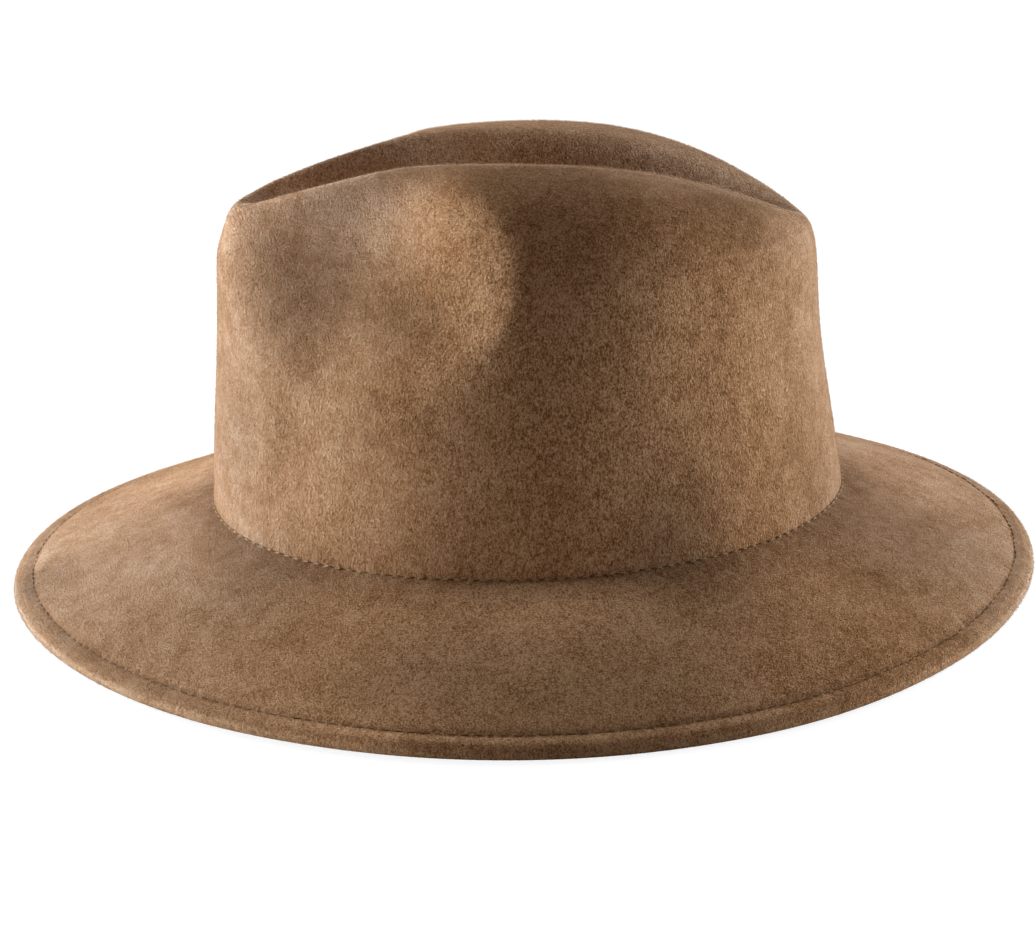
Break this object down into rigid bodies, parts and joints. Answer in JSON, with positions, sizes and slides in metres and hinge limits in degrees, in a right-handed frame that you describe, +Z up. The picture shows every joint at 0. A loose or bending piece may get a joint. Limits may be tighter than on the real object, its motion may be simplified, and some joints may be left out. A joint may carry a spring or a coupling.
{
  "type": "felt fedora hat",
  "caption": "Blocked felt fedora with a creased, pinched crown, a drooping brim with a stitched turned-under edge, a leather sweatband and a satin lining.",
  "frame": {"origin": "on the surface that the hat stands on, below the middle of the brim", "axes": "+Z up, -Y towards the front of the hat, +X towards the wearer's left"},
  "size_m": [0.3064, 0.34, 0.1491],
  "materials": {
    "felt": "brushed camel wool felt with a short raised nap",
    "sewing_thread": "tan polyester sewing thread",
    "seam_thread": "light tan polyester sewing thread",
    "leather": "semi-matt brown sheepskin",
    "reed": "natural extruded plastic",
    "backing_tape": "black coated cotton tape",
    "ribbon": "dark brown ribbed ribbon",
    "satin": "glossy bronze satin weave",
    "piping": "bias-cut satin over cord"
  },
  "bodies": {
    "root": {"felt_body": "felt", "welt_top_thread": "sewing_thread", "welt_under_thread": "sewing_thread", "sweatband_seam_thread": "seam_thread", "sweatband": "leather", "sweatband_reed": "reed", "reed_tape": "backing_tape", "reed_tape_thread": "seam_thread", "sweatband_joint_tape": "backing_tape", "sweatband_joint_thread": "seam_thread", "bow_left_loop": "ribbon", "bow_right_loop": "ribbon", "bow_knot": "ribbon", "lining_side": "satin", "lining_tip": "satin", "lining_piping": "piping"}
  },
  "joints": []
}
